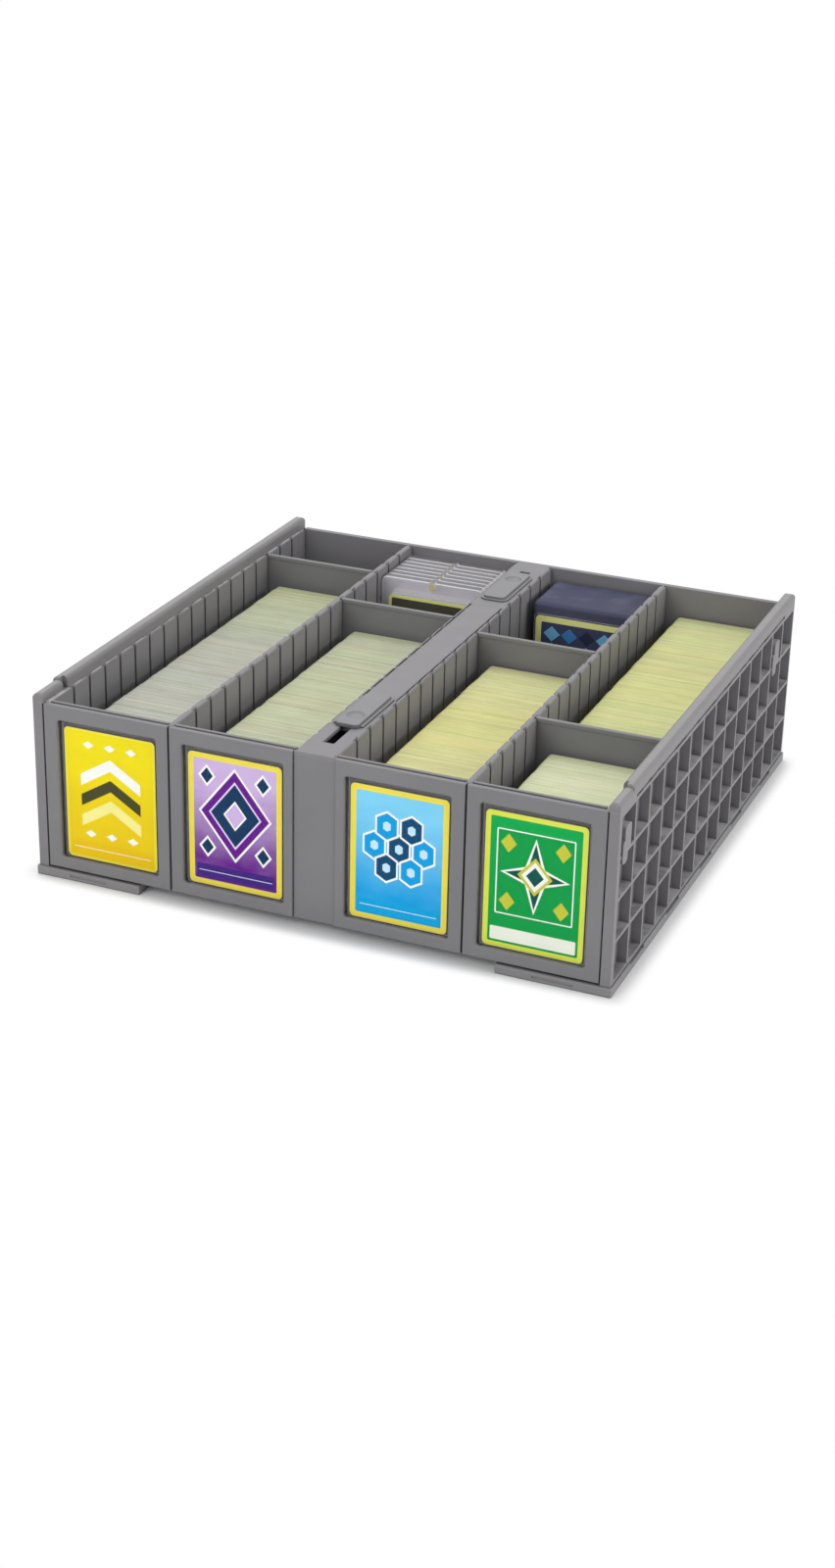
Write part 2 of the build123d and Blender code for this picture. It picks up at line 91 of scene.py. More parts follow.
class NodeBoard:
    """A node tree that is being filled, with short ways to add and join its nodes."""

    VALUE_RESULTS = ("DOT_PRODUCT", "LENGTH")

    def __init__(self, tree: NodeTree) -> None:
        """Keeps the tree."""
        self.tree = tree

    def node(self, kind: str, inputs: Optional[dict[Any, Feed]] = None, **settings: Any) -> Node:
        """Adds a node.

        Args:
            kind: the node's type.
            inputs: what feeds its inputs, by their names or numbers.
            settings: properties to set on it.

        Returns:
            The new node.
        """
        made = self.tree.nodes.new(kind)
        for name, value in settings.items():
            setattr(made, name, value)
        self.fill(made, inputs or {})
        return made

    def fill(self, made: Node, inputs: dict[Any, Feed]) -> None:
        """Feeds several inputs of a node, by their names or numbers."""
        for key, value in inputs.items():
            self.feed(made.inputs[key], value)

    def feed(self, socket: NodeSocket, value: Feed) -> None:
        """Links a socket to another one, or sets its own value.

        Args:
            socket: the input to feed.
            value: an output to link it to, or a number, vector or colour to set.
        """
        if isinstance(value, NodeSocket):
            self.tree.links.new(value, socket)
        elif isinstance(value, tuple) and socket.type == "RGBA" and len(value) == 3:
            socket.default_value = (*value, 1.0)
        else:
            socket.default_value = value

    def math(self, operation: str, *values: Feed) -> NodeSocket:
        """The result of a Math node on one to three values."""
        return self.node("ShaderNodeMath", dict(enumerate(values)), operation=operation).outputs[0]

    def vector(self, operation: str, *values: Feed) -> NodeSocket:
        """The result of a Vector Math node on one or two vectors."""
        made = self.node("ShaderNodeVectorMath", dict(enumerate(values)), operation=operation)
        return made.outputs["Value" if operation in self.VALUE_RESULTS else "Vector"]

    def parts(self, vector: Feed) -> NodeOutputs:
        """The X, Y and Z of a vector, by name."""
        return self.node("ShaderNodeSeparateXYZ", {0: vector}).outputs

    def clamp(self, value: Feed) -> NodeSocket:
        """A value held between 0 and 1."""
        return self.node("ShaderNodeClamp", {"Value": value}).outputs[0]

    def mix(self, share: Feed, first: Feed, second: Feed) -> NodeSocket:
        """A mix of two colours."""
        inputs = {0: share, 6: first, 7: second}
        return self.node("ShaderNodeMix", inputs, data_type="RGBA").outputs[2]

    def blend(self, share: Feed, first: NodeSocket, second: NodeSocket) -> NodeSocket:
        """A mix of two shaders."""
        return self.node("ShaderNodeMixShader", {0: share, 1: first, 2: second}).outputs[0]

    def ramp(self, value: Feed, low: float, high: float) -> NodeSocket:
        """A smooth step from 0 at low to 1 at high.

        Args:
            value: what is stepped.
            low: where the step starts.
            high: where it ends.

        Returns:
            The step.
        """
        inputs = {"Value": value, "From Min": low, "From Max": high}
        made = self.node("ShaderNodeMapRange", inputs, interpolation_type="SMOOTHSTEP")
        return made.outputs["Result"]

    def span(self, value: Feed, low: float, high: float) -> NodeSocket:
        """A value from 0 to 1, spread between low and high."""
        inputs = {"Value": value, "To Min": low, "To Max": high}
        return self.node("ShaderNodeMapRange", inputs).outputs["Result"]

    def noise(self, where: Feed, scale: Feed, detail: float = 2.0) -> NodeSocket:
        """The value of a noise texture."""
        inputs = {"Vector": where, "Scale": scale, "Detail": detail}
        return self.node("ShaderNodeTexNoise", inputs).outputs["Fac"]

    def place(self) -> NodeSocket:
        """The point on the surface, in the frame that the object rides in."""
        return self.node("ShaderNodeTexCoord").outputs["Object"]

    def geometry(self, name: str) -> NodeSocket:
        """An output of the Geometry node."""
        return self.node("ShaderNodeNewGeometry").outputs[name]

    def bump(self, height: Feed, depth: float, normal: Optional[NodeSocket] = None) -> NodeSocket:
        """A bumped normal.

        Args:
            height: the height, from 0 to 1.
            depth: how deep the bump is, in metres.
            normal: the normal to start from, if it isn't the face's own.

        Returns:
            The normal.
        """
        inputs = {"Strength": 1.0, "Distance": depth, "Height": height}
        if normal is not None:
            inputs["Normal"] = normal
        return self.node("ShaderNodeBump", inputs).outputs["Normal"]

    def group(self, tree: NodeTree, **values: Feed) -> NodeOutputs:
        """Places a shared group.

        Args:
            tree: the group.
            values: what feeds its inputs, by name, with blanks written as underscores.

        Returns:
            The group's outputs.
        """
        inputs = {name.replace("_", " "): value for name, value in values.items()}
        return self.node("ShaderNodeGroup", inputs, node_tree=tree).outputs


class GroupKit:
    """The shader node groups that several materials share, each built when first asked for."""

    ORIGIN = (0.0, 0.0, 0.0)
    FLAT = (1.0, 0.0, 1.0)
    COARSE_SCALE = 0.35
    COARSE_SHARE = 0.6
    FIBRE_STRETCH = (0.3, 1.0, 1.0)
    MOTTLE_SCALE = 0.12
    FACET_STEEPNESS = 0.75

    def open(self, name: str, **inputs: Any) -> tuple[NodeBoard, NodeOutputs]:
        """Starts a group.

        Args:
            name: the group's name.
            inputs: each input's default, by name, with blanks written as underscores.

        Returns:
            The board to fill, and what the group is given.
        """
        board = NodeBoard(bpy.data.node_groups.new(name, "ShaderNodeTree"))
        for key, default in inputs.items():
            label = key.replace("_", " ")
            kind = "NodeSocketVector" if isinstance(default, tuple) else "NodeSocketFloat"
            socket = board.tree.interface.new_socket(label, in_out="INPUT", socket_type=kind)
            socket.default_value = default
        return board, board.node("NodeGroupInput").outputs

    def close(self, board: NodeBoard, **results: NodeSocket) -> NodeTree:
        """Ends a group.

        Args:
            board: the group's board.
            results: what the group puts out, by name.

        Returns:
            The group.
        """
        for label, result in results.items():
            kind = "NodeSocketVector" if result.type == "VECTOR" else "NodeSocketFloat"
            board.tree.interface.new_socket(label, in_out="OUTPUT", socket_type=kind)
        board.node("NodeGroupOutput", results)
        return board.tree

    @cache
    def grain(self) -> NodeTree:
        """Spark-eroded mould grain: a fine height, and a slow drift of tone.

        Returns:
            The group.
        """
        board, given = self.open("mould_grain", Scale=2600.0, Drift_Scale=16.0)
        where = board.place()
        fine = board.noise(where, given["Scale"], detail=3.0)
        coarse = board.noise(where, board.math("MULTIPLY", given["Scale"], self.COARSE_SCALE))
        height = board.math("MULTIPLY_ADD", coarse, self.COARSE_SHARE, fine)
        slow = board.noise(where, given["Drift Scale"], detail=4.0)
        return self.close(board, Height=height, Tone=board.ramp(slow, low=0.3, high=0.7))

    @cache
    def edges(self) -> NodeTree:
        """Where an edge is near: a mask for worn edges and for painted edge highlights, and a
        normal that rounds them.

        Returns:
            The group.
        """
        board, given = self.open("worn_and_highlit_edges", Radius=0.0006, Gain=4.0, Break_Up=0.5)
        soft = board.node("ShaderNodeBevel", {"Radius": given["Radius"]}, samples=6)
        bend = board.vector("DOT_PRODUCT", soft.outputs["Normal"], board.geometry("Normal"))
        turn = board.math("MULTIPLY", board.math("SUBTRACT", 1.0, bend), given["Gain"])
        cloud = board.noise(board.place(), scale=160.0, detail=4.0)
        keep = board.math("SUBTRACT", 1.0, given["Break Up"])
        patchy = board.ramp(cloud, low=0.25, high=0.75)
        patchy = board.math("MULTIPLY_ADD", patchy, given["Break Up"], keep)
        mask = board.clamp(board.math("MULTIPLY", turn, patchy))
        return self.close(board, Mask=mask, Normal=soft.outputs["Normal"])

    @cache
    def dust_and_top_shading(self) -> NodeTree:
        """A veil on faces that look up, for dust and, where a finish sets its colour far from the
        body's, for painted light or shade on tops.

        Returns:
            The group.
        """
        board, given = self.open("dust_and_painted_top_shading", Scale=70.0, Cover=0.0)
        up = board.ramp(board.parts(board.geometry("Normal"))["Z"], low=0.4, high=1.0)
        cloud = board.noise(board.place(), given["Scale"], detail=6.0)
        speck = board.ramp(board.math("ADD", cloud, given["Cover"]), low=0.45, high=0.75)
        return self.close(board, Mask=board.math("MULTIPLY", up, speck))

    @cache
    def crevice_shading(self) -> NodeTree:
        """Painted shade in grooves, corners and narrow gaps, where ambient occlusion finds them.

        Returns:
            The group.
        """
        board, given = self.open("painted_crevice_shade", Reach=0.005)
        lit = board.node("ShaderNodeAmbientOcclusion", {"Distance": given["Reach"]}, samples=6)
        shut = board.ramp(board.math("SUBTRACT", 1.0, lit.outputs["AO"]), low=0.15, high=0.8)
        cloud = board.noise(board.place(), scale=90.0, detail=3.0)
        patchy = board.span(cloud, low=0.7, high=1.15)
        return self.close(board, Mask=board.math("MULTIPLY", shut, patchy))

    @cache
    def slope(self) -> NodeTree:
        """How a face lies: flat on top, or aslant to the front as a bevel does.

        Returns:
            The group.
        """
        board, _ = self.open("face_slope")
        parts = board.parts(board.geometry("True Normal"))
        crown = board.ramp(parts["Z"], low=0.85, high=0.98)
        tilt = board.math("SUBTRACT", board.ramp(parts["Z"], low=0.35, high=0.6), crown)
        ahead = board.ramp(parts["Y"], low=-0.3, high=-0.6)
        return self.close(board, Crown=crown, Bevel=board.math("MULTIPLY", tilt, ahead))

    @cache
    def fibre(self) -> NodeTree:
        """Pressed card: short fibres in the height, and mottled tone.

        Returns:
            The group.
        """
        board, given = self.open("card_fibre", Scale=900.0)
        stretch = board.vector("MULTIPLY", board.place(), self.FIBRE_STRETCH)
        strands = board.noise(stretch, given["Scale"], detail=4.0)
        coarse = board.math("MULTIPLY", given["Scale"], self.MOTTLE_SCALE)
        mottle = board.noise(stretch, coarse, detail=3.0)
        return self.close(board, Height=strands, Tone=board.ramp(mottle, low=0.3, high=0.7))

    @cache
    def panel(self) -> NodeTree:
        """A printed panel with rounded corners, as a mask over a point in millimetres.

        Returns:
            The group.
        """
        board, given = self.open("print_panel", Point=self.ORIGIN, Centre=self.ORIGIN,
                                 Half=(10.0, 0.0, 10.0), Corner=1.0, Soft=0.12)
        away = board.vector("SUBTRACT", given["Point"], given["Centre"])
        corner = board.node("ShaderNodeCombineXYZ", {"X": given["Corner"], "Z": given["Corner"]})
        inner = board.vector("SUBTRACT", given["Half"], corner.outputs[0])
        past = board.vector("SUBTRACT", board.vector("ABSOLUTE", away), inner)
        past = board.vector("MAXIMUM", board.vector("MULTIPLY", past, self.FLAT), self.ORIGIN)
        inside = board.math("SUBTRACT", given["Corner"], board.vector("LENGTH", past))
        return self.close(board, Mask=board.clamp(board.math("DIVIDE", inside, given["Soft"])))

    @cache
    def facet(self) -> NodeTree:
        """A printed lozenge or, with its side corners cut, a hexagon, as a mask.

        Returns:
            The group.
        """
        board, given = self.open("print_facet", Point=self.ORIGIN, Centre=self.ORIGIN,
                                 Across=10.0, Tall=10.0, Cut=1000.0, Soft=0.12)
        away = board.vector("SUBTRACT", given["Point"], given["Centre"])
        parts = board.parts(board.vector("ABSOLUTE", away))
        share = board.math("ADD", board.math("DIVIDE", parts["X"], given["Across"]),
                           board.math("DIVIDE", parts["Z"], given["Tall"]))
        least = board.math("MINIMUM", given["Across"], given["Tall"])
        slope = board.math("MULTIPLY", board.math("SUBTRACT", 1.0, share), least)
        slope = board.math("MULTIPLY", slope, self.FACET_STEEPNESS)
        depth = board.math("MINIMUM", slope, board.math("SUBTRACT", given["Cut"], parts["X"]))
        return self.close(board, Mask=board.clamp(board.math("DIVIDE", depth, given["Soft"])))


GROUPS = GroupKit()


def new_board(owner: Union[Material, World]) -> NodeBoard:
    """An empty board for a material or a world.

    Args:
        owner: what the board belongs to.

    Returns:
        The board.
    """
    owner.use_nodes = True
    owner.node_tree.nodes.clear()
    return NodeBoard(owner.node_tree)


def new_material(name: str) -> tuple[Material, NodeBoard, Node]:
    """Starts a material with its Principled shader joined to the output.

    Args:
        name: the material's name.

    Returns:
        The material, its board and the shader node.
    """
    made = bpy.data.materials.new(name)
    board = new_board(made)
    shader = board.node("ShaderNodeBsdfPrincipled")
    board.node("ShaderNodeOutputMaterial", {"Surface": shader.outputs["BSDF"]})
    return made, board, shader


class Finish(Protocol):
    """What every finish has: a name, and a way to build its material."""

    name: str

    def material(self) -> Material:
        """Builds the material."""


@dataclass(frozen=True)
class CardSize:
    """A card's width, height, corner radius and thickness, in millimetres."""

    width: float = 63.5
    height: float = 88.9
    corner: float = 3.0
    thick: float = 0.4

    def outline(self, steps: int) -> list[Spot]:
        """The card's outline.

        Args:
            steps: how many points each corner has, past its first.

        Returns:
            Points as across and up, from the foot's middle, anticlockwise seen from the front.
        """
        side, top = self.width / 2 - self.corner, self.height - self.corner
        centres = ((side, self.corner), (side, top), (-side, top), (-side, self.corner))
        points = []
        for quarter, (across, up) in enumerate(centres):
            for step in range(steps + 1):
                turn = math.pi / 2 * (quarter - 1 + step / steps)
                points.append((across + self.corner * math.cos(turn),
                               up + self.corner * math.sin(turn)))
        return points


@dataclass(frozen=True)
class PlasticFinish:
    """Moulded plastic with a spark-eroded grain, worn edges with a painted highlight, painted shade
    in crevices and on flanks, and a veil on faces that look up: dust, with painted light on the
    side wall's tops and painted shade on the navy box's top.
    """

    name: str
    # Colours: body and drift are the plastic's tone; the third is edge wear with a painted
    # highlight, the fourth is dust, set lighter or darker on some finishes as painted light or
    # shade on tops, and the fifth is painted shade in crevices and on flanks.
    body: Colour
    drift: Colour
    wear_and_highlight_colour: Colour
    dust_and_top_colour: Colour
    painted_shade: Colour
    roughness: float = 0.52
    rubbed_roughness: float = 0.4
    rough_drift: float = 0.04
    grain_scale: float = 2600.0
    grain_depth: float = 0.00002
    edge_radius: float = 0.0007
    wear_and_highlight_share: float = 0.6
    dust_and_top_share: float = 0.1
    dust_and_top_cover: float = 0.0
    crevice_shade_share: float = 0.6
    crevice_shade_reach: float = 0.005
    flank_shade_share: float = 0.0
    gloss: float = 0.25

    def material(self) -> Material:
        """Builds the material.

        Returns:
            The material.
        """
        made, board, shader = new_material(self.name)
        grain = board.group(GROUPS.grain(), Scale=self.grain_scale)
        edges = board.group(GROUPS.edges(), Radius=self.edge_radius)
        dust_and_top_shading = board.group(GROUPS.dust_and_top_shading(), Cover=self.dust_and_top_cover)
        crevice_shading = board.group(GROUPS.crevice_shading(), Reach=self.crevice_shade_reach)
        colour = board.mix(grain["Tone"], self.body, self.drift)
        # painted shade: darker in grooves, corners and gaps, from ambient occlusion
        painted_shade = board.math("MULTIPLY", crevice_shading["Mask"], self.crevice_shade_share)
        colour = board.mix(painted_shade, colour, self.painted_shade)
        # painted shade on faces that don't look up, such as a rail's flanks and the far side of a
        # thumb dish
        if self.flank_shade_share > 0.0:
            aside = board.math("SUBTRACT", 1.0, board.group(GROUPS.slope())["Crown"])
            colour = board.mix(board.math("MULTIPLY", aside, self.flank_shade_share), colour, self.painted_shade)
        # faces that look up: dust, and on some finishes painted light or shade on tops
        top_share = board.math("MULTIPLY", dust_and_top_shading["Mask"], self.dust_and_top_share)
        colour = board.mix(top_share, colour, self.dust_and_top_colour)
        # edges: wear, and a painted highlight along them
        wear_and_highlight = board.math("MULTIPLY", edges["Mask"], self.wear_and_highlight_share)
        drift = board.span(grain["Tone"], -self.rough_drift, self.rough_drift)
        rough = board.math("ADD", drift, self.roughness)
        polish = board.math("MULTIPLY", wear_and_highlight, self.rubbed_roughness - self.roughness)
        board.fill(shader, {
            "Base Color": board.mix(wear_and_highlight, colour, self.wear_and_highlight_colour),
            "Roughness": board.math("ADD", rough, polish),
            "Normal": board.bump(grain["Height"], self.grain_depth, edges["Normal"]),
            "Specular IOR Level": self.gloss,
        })
        return made


@dataclass(frozen=True)
class ClearFinish:
    """Clear plastic: most light goes through, and its edges and slanting faces show more; its edges
    and front bevels get a painted highlight, and its top faces a tint that on the holders is
    painted shade.
    """

    name: str
    tint: Colour
    # The edge tint is a painted highlight; the top tint is painted shade on the holders.
    edge_highlight_tint: Colour
    top_shading_tint: Colour
    body_alpha: float
    slant_alpha: float
    edge_alpha: float
    crown_alpha: float
    roughness: float = 0.12
    rough_spread: Span = (0.6, 1.6)
    slant_blend: float = 0.2
    edge_radius: float = 0.0008
    edge_gain: float = 5.0
    edge_break_up: float = 0.25
    edge_share: float = 1.0
    scuff_scale: float = 240.0
    scuff_drift: float = 45.0
    scuff_depth: float = 0.00001
    gloss: float = 0.5

    def material(self) -> Material:
        """Builds the material.

        Returns:
            The material.
        """
        made, board, shader = new_material(self.name)
        edges = board.group(GROUPS.edges(), Radius=self.edge_radius, Gain=self.edge_gain,
                            Break_Up=self.edge_break_up)
        grain = board.group(GROUPS.grain(), Scale=self.scuff_scale, Drift_Scale=self.scuff_drift)
        slope = board.group(GROUPS.slope())
        # painted highlight along edges and on front bevels
        near_edge = board.math("MULTIPLY", edges["Mask"], self.edge_share)
        bright = board.math("MAXIMUM", near_edge, slope["Bevel"])
        colour = board.mix(slope["Crown"], self.tint, self.top_shading_tint)
        slant = board.node("ShaderNodeLayerWeight", {"Blend": self.slant_blend}).outputs["Facing"]
        solid = board.math("MULTIPLY_ADD", slant, self.slant_alpha, self.body_alpha)
        solid = board.math("MULTIPLY_ADD", slope["Crown"], self.crown_alpha, solid)
        solid = board.math("ADD", solid, board.math("MULTIPLY", bright, self.edge_alpha))
        low, high = (self.roughness * spread for spread in self.rough_spread)
        board.fill(shader, {
            "Base Color": board.mix(bright, colour, self.edge_highlight_tint),
            "Roughness": board.span(grain["Tone"], low, high),
            "Alpha": board.math("MINIMUM", solid, 1.0),
            "Normal": board.bump(grain["Height"], self.scuff_depth),
            "Specular IOR Level": self.gloss,
        })
        return made


@dataclass(frozen=True)
class CardEdgeFinish:
    """The cut edges of standing cards: each card has its own tint, and the stock has fibres."""

    name: str
    fibre_dark: Colour
    fibre_scale: float = 1400.0
    fibre_share: float = 0.1
    fibre_depth: float = 0.00003
    roughness: Span = (0.6, 0.8)

    def material(self) -> Material:
        """Builds the material.

        Returns:
            The material.
        """
        made, board, shader = new_material(self.name)
        fibre = board.group(GROUPS.fibre(), Scale=self.fibre_scale)
        tint = board.node("ShaderNodeVertexColor", layer_name=TINT_LAYER).outputs["Color"]
        share = board.math("MULTIPLY", fibre["Tone"], self.fibre_share)
        board.fill(shader, {
            "Base Color": board.mix(share, tint, self.fibre_dark),
            "Roughness": board.span(fibre["Tone"], *self.roughness),
            "Normal": board.bump(fibre["Height"], self.fibre_depth),
        })
        return made


class PrintPlate:
    """The print of one card while it is laid down, colour over colour."""

    NO_CUT = 1000.0

    def __init__(self, board: NodeBoard, middle: Spot, ground: Colour) -> None:
        """Starts with a bare card.

        Args:
            board: the material's board.
            middle: the card's middle, across and up, in millimetres.
            ground: the card's colour.
        """
        self.board = board
        point = board.vector("MULTIPLY", board.place(), (1.0 / MM, 1.0 / MM, 1.0 / MM))
        self.point = board.vector("SUBTRACT", point, (middle[0], 0.0, middle[1]))
        self.ink: Feed = ground

    def lay(self, mask: NodeSocket, colour: Feed) -> None:
        """Lays a colour down where a mask is."""
        self.ink = self.board.mix(mask, self.ink, colour)

    def panel(self, centre: Spot, half: Spot, corner: float, colour: Feed) -> None:
        """Lays down a panel with rounded corners.

        Args:
            centre: its middle, from the card's middle, in millimetres.
            half: half of its width and height.
            corner: the corners' radius.
            colour: its colour.
        """
        made = self.board.group(GROUPS.panel(), Point=self.point, Corner=corner,
                                Centre=(centre[0], 0.0, centre[1]), Half=(half[0], 0.0, half[1]))
        self.lay(made["Mask"], colour)

    def lozenge(self, centre: Spot, across: float, tall: float, colour: Feed,
                cut: float = NO_CUT) -> None:
        """Lays down a lozenge or, with its side corners cut, a hexagon.

        Args:
            centre: its middle, from the card's middle, in millimetres.
            across: half of its width.
            tall: half of its height.
            colour: its colour.
            cut: how far from its middle the side corners are cut.
        """
        made = self.board.group(GROUPS.facet(), Point=self.point, Across=across, Tall=tall,
                                Cut=cut, Centre=(centre[0], 0.0, centre[1]))
        self.lay(made["Mask"], colour)


class Motif(Enum):
    """The plain geometric devices printed on the cards."""

    CHEVRONS = "chevrons"
    LOZENGES = "lozenges"
    HEXAGONS = "hexagons"
    PINWHEEL = "pinwheel"
    STEPS = "steps"
    TILES = "tiles"


@dataclass(frozen=True)
class PrintFinish:
    """A printed card: a border, a panel that fades from top to bottom, a foot band and a device."""

    name: str
    border: Colour
    panel_top: Colour
    panel_foot: Colour
    band: Colour
    light: Colour
    dark: Colour
    glint: Colour
    motif: Motif
    middle: Spot = (0.0, 0.0)
    border_width: float = 3.6
    panel_corner: float = 1.2
    band_height: float = 9.0
    band_inset: float = 1.5
    band_corner: float = 1.0
    rule_half: float = 0.25
    rule_corner: float = 0.2
    device_rise: float = 6.0
    cloud_scale: Place = (0.05, 0.0, 0.09)
    cloud_share: float = 0.25
    card: CardSize = CardSize()
    chalk: Colour = srgb(238, 234, 220)
    chalk_share: float = 0.5
    worn_radius: float = 0.0005
    fibre_scale: float = 700.0
    fibre_share: float = 0.05
    fibre_depth: float = 0.000006
    roughness: float = 0.4
    rough_drift: float = 0.05
    gloss: float = 0.05

    def material(self) -> Material:
        """Builds the material.

        Returns:
            The material.
        """
        made, board, shader = new_material(self.name)
        ink = self.print_card(board)
        fibre = board.group(GROUPS.fibre(), Scale=self.fibre_scale)
        near_edge = board.group(GROUPS.edges(), Radius=self.worn_radius)
        ink = board.mix(board.math("MULTIPLY", fibre["Tone"], self.fibre_share), ink, self.dark)
        chalk = board.math("MULTIPLY", near_edge["Mask"], self.chalk_share)
        drift = board.span(fibre["Tone"], -self.rough_drift, self.rough_drift)
        board.fill(shader, {
            "Base Color": board.mix(chalk, ink, self.chalk),
            "Roughness": board.math("ADD", drift, self.roughness),
            "Normal": board.bump(fibre["Height"], self.fibre_depth),
            "Specular IOR Level": self.gloss,
        })
        return made

    def print_card(self, board: NodeBoard) -> Feed:
        """Lays down the border, the panel, the device and the foot band.

        Args:
            board: the material's board.

        Returns:
            The colour of the print.
        """
        plate = PrintPlate(board, self.middle, self.border)
        half_x = self.card.width / 2 - self.border_width
        half_z = self.card.height / 2 - self.border_width
        broad = board.vector("MULTIPLY", plate.point, self.cloud_scale)
        cloud = board.noise(broad, scale=1.0, detail=4.0)
        fade = board.ramp(board.parts(plate.point)["Z"], -half_z, half_z)
        fade = board.math("ADD", fade, board.span(cloud, -self.cloud_share, self.cloud_share))
        ground = board.mix(fade, self.panel_foot, self.panel_top)
        plate.panel((0.0, 0.0), (half_x, half_z), self.panel_corner, ground)
        self.draw_device(plate)
        foot = (0.0, -half_z + self.band_height / 2 + self.band_inset)
        band = (half_x - self.band_inset, self.band_height / 2)
        plate.panel(foot, band, self.band_corner, self.band)
        rule = (half_x - 2 * self.band_inset, self.rule_half)
        plate.panel(foot, rule, self.rule_corner, self.light)
        return plate.ink

    def draw_device(self, plate: PrintPlate) -> None:
        """Lays the card's device over the panel.

        Args:
            plate: the print so far.
        """
        devices = {
            Motif.CHEVRONS: self.chevrons, Motif.LOZENGES: self.lozenges,
            Motif.HEXAGONS: self.hexagons, Motif.PINWHEEL: self.pinwheel,
            Motif.STEPS: self.steps, Motif.TILES: self.tiles,
        }
        devices[self.motif](plate)

    def chevrons(self, plate: PrintPlate) -> None:
        """Three stacked chevrons between two rows of small lozenges.

        Args:
            plate: the print so far.
        """
        pitch, half_width, thick, soft = 0.62, 21.0, 8.0, 0.15
        board = plate.board
        across = board.parts(board.vector("ABSOLUTE", plate.point))["X"]
        slope = board.math("MULTIPLY_ADD", across, pitch, board.parts(plate.point)["Z"])
        side = board.math("SUBTRACT", half_width, across)
        for level, colour in ((27.0, self.light), (13.0, self.dark), (-1.0, self.glint)):
            upper = board.math("SUBTRACT", level, slope)
            lower = board.math("SUBTRACT", slope, level - thick)
            depth = board.math("MINIMUM", board.math("MINIMUM", upper, lower), side)
            plate.lay(board.clamp(board.math("DIVIDE", depth, soft)), colour)
        for z in (34.5, -26.5):
            for x in (-15.0, 0.0, 15.0):
                plate.lozenge((x, z), 4.0, 2.6, self.light)

    def lozenges(self, plate: PrintPlate) -> None:
        """Nested lozenges with four small ones at their corners.

        Args:
            plate: the print so far.
        """
        slimness = 1.28
        for across, colour in ((25.0, self.light), (23.2, self.panel_foot), (18.0, self.glint),
                               (16.6, self.dark), (8.0, self.light), (6.6, self.panel_top)):
            plate.lozenge((0.0, self.device_rise), across, across * slimness, colour)
        for x in (-19.0, 19.0):
            for z in (30.0, -18.0):
                plate.lozenge((x, z), 6.0, 7.6, self.light)
                plate.lozenge((x, z), 4.2, 5.4, self.dark)

    def hexagons(self, plate: PrintPlate) -> None:
        """A honeycomb of seven cells, three of them filled.

        Args:
            plate: the print so far.
        """
        step_x, step_z = 16.0, 13.8
        cells = [(0.0, 0.0), (step_x, 0.0), (-step_x, 0.0)]
        cells += [(x, z) for x in (-step_x / 2, step_x / 2) for z in (-step_z, step_z)]
        filled = {(0.0, 0.0), (-step_x / 2, -step_z), (step_x / 2, step_z)}
        for x, z in cells:
            middle = (x, z + self.device_rise)
            inner = self.dark if (x, z) in filled else self.panel_foot
            plate.lozenge(middle, 18.2, 10.4, self.light, cut=7.7)
            plate.lozenge(middle, 15.4, 8.8, inner, cut=6.5)
            plate.lozenge(middle, 6.0, 3.4, self.glint, cut=2.5)

    def pinwheel(self, plate: PrintPlate) -> None:
        """A quilt block: long and broad lozenges laid across one another, in a thin square.

        Args:
            plate: the print so far.
        """
        middle = (0.0, self.device_rise)
        plate.panel(middle, (24.5, 28.0), 1.0, self.light)
        plate.panel(middle, (23.7, 27.2), 0.6, self.panel_foot)
        for across, tall, colour in ((22.0, 8.0, self.light), (8.0, 25.0, self.light),
                                     (19.0, 5.8, self.dark), (5.8, 22.0, self.dark),
                                     (11.0, 12.5, self.glint), (8.6, 9.8, self.light),
                                     (5.6, 6.4, self.dark)):
            plate.lozenge(middle, across, tall, colour)
        for x in (-17.0, 17.0):
            for z in (-13.0, 25.0):
                plate.lozenge((x, z), 5.0, 6.2, self.glint)

    def steps(self, plate: PrintPlate) -> None:
        """Panels set one inside another, each a step lower.

        Args:
            plate: the print so far.
        """
        colours = (self.light, self.dark, self.glint, self.dark, self.light)
        half_size, narrower, shorter, top, lower = 25.0, 4.2, 4.6, 9.0, 1.6
        for index, colour in enumerate(colours):
            half = (half_size - narrower * index, half_size - shorter * index)
            plate.panel((0.0, top - lower * index), half, 1.0, colour)

    def tiles(self, plate: PrintPlate) -> None:
        """Rows of small lozenges in turn light and dark.

        Args:
            plate: the print so far.
        """
        for row, z in enumerate((32.0, 20.0, 8.0, -4.0, -16.0)):
            for column, x in enumerate((-19.5, -6.5, 6.5, 19.5)):
                colour = (self.light, self.glint, self.dark)[(row + column) % 3]
                plate.lozenge((x, z), 6.2, 5.8, colour)


@dataclass(frozen=True)
class MetalFinish:
    """Plated magnet metal with turned rings; its near-white body colour is partly the plating and
    partly a painted glint.
    """

    name: str
    body: Colour
    ring: Colour
    axis: Spot
    ring_pitch: float = 0.0008
    ring_edge: Span = (0.0002, 0.0006)
    ring_depth: float = 0.0002
    roughness: Span = (0.35, 0.5)
    metallic: float = 0.45

    def material(self) -> Material:
        """Builds the material.

        Returns:
            The material.
        """
        made, board, shader = new_material(self.name)
        middle = (self.axis[0] * MM, 0.0, self.axis[1] * MM)
        away = board.vector("SUBTRACT", board.place(), middle)
        reach = board.vector("LENGTH", board.vector("MULTIPLY", away, GROUPS.FLAT))
        rings = board.math("PINGPONG", reach, self.ring_pitch)
        mask = board.ramp(rings, *self.ring_edge)
        board.fill(shader, {
            "Base Color": board.mix(mask, self.body, self.ring),
            "Roughness": board.span(mask, *self.roughness),
            "Normal": board.bump(rings, self.ring_depth),
            "Metallic": self.metallic,
        })
        return made


